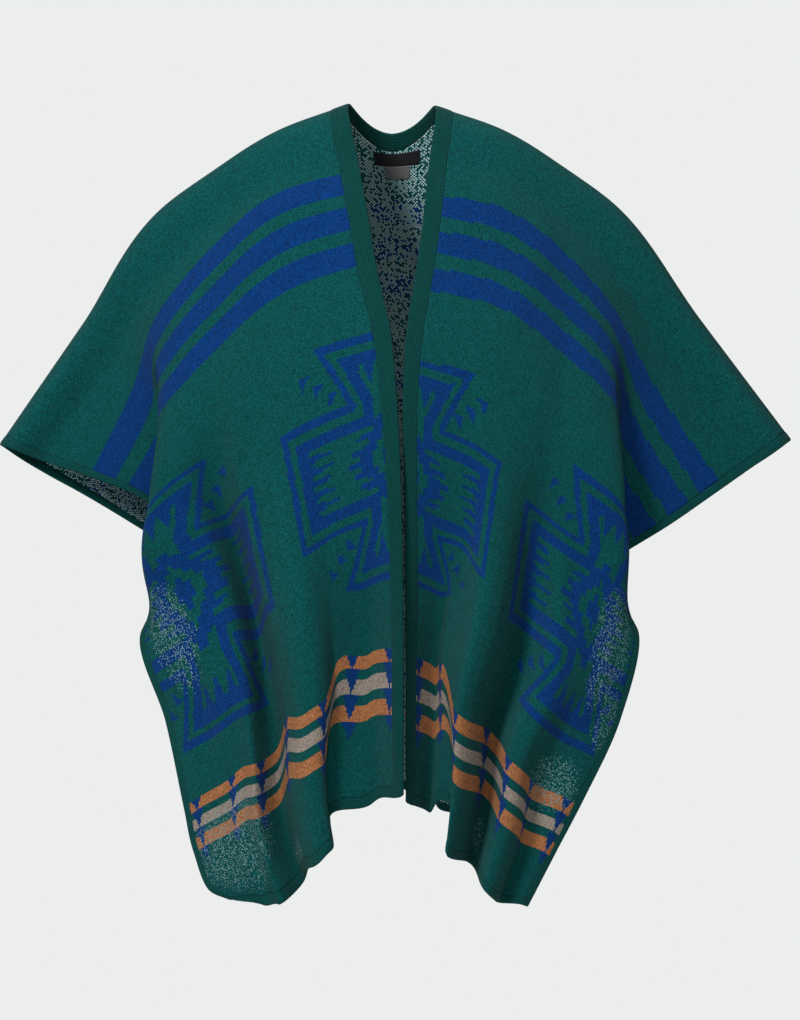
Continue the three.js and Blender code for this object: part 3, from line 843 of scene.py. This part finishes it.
def grid(rows, columns):
    """Two arrays of shares from 0 to 1: down the piece and across it."""
    return np.meshgrid(np.linspace(0, 1, rows), np.linspace(0, 1, columns), indexing="ij")


def centres(values):
    """The mean of the four corners of each square, as one row of values."""
    return ((values[1:, 1:] + values[:-1, 1:] + values[1:, :-1] + values[:-1, :-1]) / 4).ravel()


def finish_with(made, *finishes):
    for finish in finishes:
        made.data.materials.append(finish)


def make_front(side, panel, pattern_down):
    b, a = grid(*FRONT_STITCHES)
    down = mix(SEAM, FRONT_LENGTH - EDGE_BAND - SEAM, b)
    across = mix(FRONT_BAND + SEAM, edges_of(panel, down), a)
    made = wall_of_cloth(f"front_{side}_cloth", panel, across, down, CLOTH_WALL)
    lay_uv(made, across, down)
    u, v = centres(across), centres(pattern_down(across, down))
    yarn = chart(u, v, (MIDDLE_CROSS, SIDE_CROSS))
    colour_stitches(made, yarn, yarn, YARNS["green"])
    mark_daylight_specks(made, DAYLIGHT_SPECK_PATCHES[side], across, down)
    finish_with(made, FACE, REVERSE)
    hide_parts(f"front_{side}")
    return made


left_cloth = make_front("left", left_front, lambda across, down: down)
right_cloth = make_front("right", right_front, right_shift)
print("front stitches", len(left_cloth.data.polygons), len(right_cloth.data.polygons))

# %% [markdown]
# The back is one length too, from cuff to cuff, with a scoop for the neck. Its stitch columns close up
# beyond the neck in the same way, and the columns at the neck start lower.

# %% The back
BACK_STITCHES = (190, 232)
BACK_CROSSES = ((0, 430), (-345, 450), (345, 450))
NECK_SEAM = NECK_HALF + FRONT_BAND


def scoop(across, depth):
    """depth (1 - (across / the seam's half width)^2), and 0 outside it."""
    return depth * (1 - np.minimum(1, (across / NECK_SEAM) ** 2))


def make_back():
    b, a = grid(*BACK_STITCHES)
    spread = 2 * a - 1
    top = scoop(spread * (width_at(BACK, 0 * a) - EDGE_BAND), NECK_SCOOP)
    down = mix(top + SEAM, BACK_LENGTH - EDGE_BAND - SEAM, b)
    reach = edges_of(back_panel, down)
    wide = edges_of(back_panel, 0 * down)
    column = spread * wide
    beyond = np.maximum(np.abs(column) - NECK_SEAM, 0) / (wide - NECK_SEAM)
    across = np.where(beyond > 0, np.sign(column) * (NECK_SEAM + beyond * (reach - NECK_SEAM)), column)
    made = wall_of_cloth("back_cloth", back_panel, across, down, CLOTH_WALL)
    lay_uv(made, across, down)
    pattern_down = centres(down) * FRONT_LENGTH / BACK_LENGTH
    yarn = chart(centres(across), pattern_down, BACK_CROSSES)
    colour_stitches(made, yarn, yarn, YARNS["green"])
    mark_daylight_specks(made, DAYLIGHT_SPECK_PATCHES["back"], across, down)
    finish_with(made, FACE, REVERSE)
    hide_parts("back")
    return made


back_cloth = make_back()
print("back stitches", len(back_cloth.data.polygons))

# %% [markdown]
# The edges are finished with knit strips, which lap a little over the cloth's cut edge. Each strip is
# thickest along its middle and thins to its edges, as a folded band does.

# %% Bands, turned edges and hems


def rounded(a, thickness):
    """thickness (1 - |2 a - 1|^4)^(1/4), at least a fifth of it, with a the share across the strip."""
    return thickness * np.maximum((1 - np.abs(2 * a - 1) ** 4) ** 0.25, 0.2)


def make_strip(name, node_name, panel, across, down, share, thickness, finish, uv):
    made = wall_of_cloth(name, panel, across, down, rounded(share, thickness))
    lay_uv(made, *uv)
    finish_with(made, finish, finish)
    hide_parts(node_name)
    return made


def long_strip(name, node_name, panel, start, end, length, columns, thickness, finish, sign=1):
    """A strip that runs down a panel between two distances across, which may depend on down."""
    b, a = grid(268, columns)
    down = mix(SEAM, length, b)
    across = mix(start(down), end(down), a)
    return make_strip(name, node_name, panel, sign * across, down, a, thickness, finish, (across, down))


def hem_strip(name, node_name, panel, left, right, length, columns):
    """A turned hem along the foot of a panel."""
    b, a = grid(11, columns)
    down = mix(length - EDGE_BAND - LAP, length, b)
    across = mix(left(down), right(down), a)
    return make_strip(name, node_name, panel, across, down, b, TRIM_WALL, TURNED, (down, across))


def front_trims(side, panel):
    """The front band, the side edge and the hem of one front."""

    def width(down):
        return width_at(panel.table, down)

    return [
        long_strip(f"front_band_{side}_rib", f"front_band_{side}", panel, lambda down: 0 * down,
                   lambda down: 0 * down + FRONT_BAND + LAP, FRONT_LENGTH, 25, BAND_WALL, EDGING),
        long_strip(f"side_band_front_{side}_edge", f"side_band_front_{side}", panel,
                   lambda down: width(down) - EDGE_BAND - LAP, width, FRONT_LENGTH, 13, TRIM_WALL, TURNED),
        hem_strip(f"hem_front_{side}_edge", f"hem_front_{side}", panel,
                  lambda down: 0 * down + FRONT_BAND + SEAM, lambda down: edges_of(panel, down),
                  FRONT_LENGTH, 150),
    ]


def back_trims():
    """The two side edges and the hem of the back."""

    def width(down):
        return width_at(BACK, down)

    made = [
        long_strip(f"side_band_back_{side}_edge", f"side_band_back_{side}", back_panel,
                   lambda down: width(down) - EDGE_BAND - LAP, width, BACK_LENGTH, 13, TRIM_WALL, TURNED,
                   sign)
        for side, sign in (("left", -1), ("right", 1))
    ]
    made.append(hem_strip("hem_back_edge", "hem_back", back_panel, lambda down: -edges_of(back_panel, down),
                          lambda down: edges_of(back_panel, down), BACK_LENGTH, 320))
    return made


trims = {"left": front_trims("left", left_front), "right": front_trims("right", right_front)}
trims["back"] = back_trims()
print(sum(len(group) for group in trims.values()), "strips")

# %% [markdown]
# The neck band closes the back of the neck between the two front bands. It lies on the same surface as
# the back panel, from its free edge down to its scooped seam.

# %% The neck band
b, a = grid(25, 90)
t = (2 * a - 1) * (NECK_SEAM - SEAM) / NECK_SEAM
free = (NECK_SCOOP - FRONT_BAND) * (1 - t * t)
seam = np.maximum(0, NECK_SCOOP * (1 - t * t) - 2 * SEAM)
across = t * mix(NECK_HALF, NECK_SEAM, b)
down = SEAM + mix(free, seam, b)
trims["back"].append(make_strip("neck_band_rib", "neck_band", back_panel, across, down, b, BAND_WALL,
                                EDGING, (b * FRONT_BAND, across)))
print("neck band", trims["back"][-1].dimensions[:])

# %% [markdown]
# Two blank labels are sewn inside the back of the neck, the wide black one above the small grey one.

# %% The labels
SOLID_WALL = 2.6
LABEL_CLEAR = 0.5
LABELS = (
    ("neck_label_satin", "neck_label", (-21, 32), (44, 58), 0.8, BLACK_SATIN, "label_black"),
    ("care_label_satin", "care_label", (-8, 21), (58.6, 73.6), 0.6, GREY_SATIN, "label_grey"),
)
for name, node_name, sides, ends, thickness, finish, slot in LABELS:
    b, a = grid(12, 28)
    across, down = mix(*sides, a), mix(*ends, b)
    inwards = SOLID_WALL / 2 + LABEL_CLEAR + thickness / 2
    made = wall_of_cloth(name, back_panel, across, down, thickness, lift=-inwards)
    lay_uv(made, across, down)
    finish_with(made, finish, finish)
    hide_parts(node_name)
    trims["back"].append(made)
print("labels placed")

# %% The cloth's area against its flat cut


def outer_area(made):
    """The area of the outer sheet in square metres: half the cross product of its squares' diagonals."""
    mesh = made.data
    points = np.empty(len(mesh.vertices) * 3)
    mesh.vertices.foreach_get("co", points)
    points = points.reshape(-1, 3)
    corners = np.empty(len(mesh.loops), np.int32)
    mesh.loops.foreach_get("vertex_index", corners)
    squares = corners.reshape(-1, 4)
    part = np.empty(len(squares), np.int32)
    mesh.polygons.foreach_get("material_index", part)
    squares = squares[:(part == 1).sum()]
    first = points[squares[:, 2]] - points[squares[:, 0]]
    second = points[squares[:, 3]] - points[squares[:, 1]]
    return float(np.linalg.norm(np.cross(first, second), axis=1).sum() / 2)


for made, flat, group in ((left_cloth, (0.53, 0.79), "left"), (right_cloth, (0.53, 0.79), "right"),
                          (back_cloth, (1.18, 0.76), "back")):
    area = outer_area(made)
    print(made.name, "cut", flat, "area", round(area, 4), "of", round(flat[0] * flat[1], 4))

# %% [markdown]
# A plain pale floor lies where a wearer would stand, and fades out before it reaches the camera's
# view. Large soft lamps at the front and above leave soft shade in the folds, as in a shop photograph.

# %% Floor
PALE = linear("#eceeed")
bpy.ops.mesh.primitive_circle_add(vertices=96, radius=3.2, fill_type="NGON", location=(0, 0, -1.45))
floor = bpy.context.object
floor.name = "floor"
floor_finish, tree, shader = new_finish("pale_floor", 0.9, 0.0)
shader.inputs["Base Color"].default_value = (*PALE, 1)
place = node(tree, "ShaderNodeTexCoord").outputs["Object"]
distance = node(tree, "ShaderNodeVectorMath", {0: place}, operation="LENGTH").outputs["Value"]
fade = node(tree, "ShaderNodeMapRange", {0: distance, 1: 1.4, 2: 3.1, 3: 1.0, 4: 0.0})
tree.links.new(fade.outputs[0], shader.inputs["Alpha"])
floor.data.materials.append(floor_finish)

# %% Light
world = bpy.data.worlds.new("studio")
bpy.context.scene.world = world
world.use_nodes = True
tree = world.node_tree
seen = tree.nodes["Background"]
seen.inputs[0].default_value = (*PALE, 1)
seen.inputs[1].default_value = 1.0
room = node(tree, "ShaderNodeBackground", {0: (1, 1, 1, 1), 1: 0.12})
ray = node(tree, "ShaderNodeLightPath").outputs["Is Camera Ray"]
either = node(tree, "ShaderNodeMixShader", {0: ray, 1: room.outputs[0], 2: seen.outputs[0]})
tree.links.new(either.outputs[0], tree.nodes["World Output"].inputs[0])

LAMPS = (
    ("key", (-1.8, -3.3, 1.9), 0.9, 146),
    ("fill", (2.0, -3.4, 0.6), 2.0, 8),
    ("front", (0.0, -4.2, 0.9), 1.2, 20),
    ("top", (0.3, -0.4, 2.4), 1.4, 26),
    ("behind", (-0.6, 3.4, 0.8), 2.4, 40),
)
for name, place, size, power in LAMPS:
    data = bpy.data.lights.new(name, "AREA")
    data.shape, data.size, data.energy = "DISK", size, power
    lamp = bpy.data.objects.new(name, data)
    lamp.location = place
    lamp.rotation_euler = (Vector(AIM) - lamp.location).to_track_quat("-Z", "Y").to_euler()
    bpy.context.scene.collection.objects.link(lamp)
bpy.context.scene.view_settings.view_transform = "Standard"
print(len(LAMPS), "lamps")
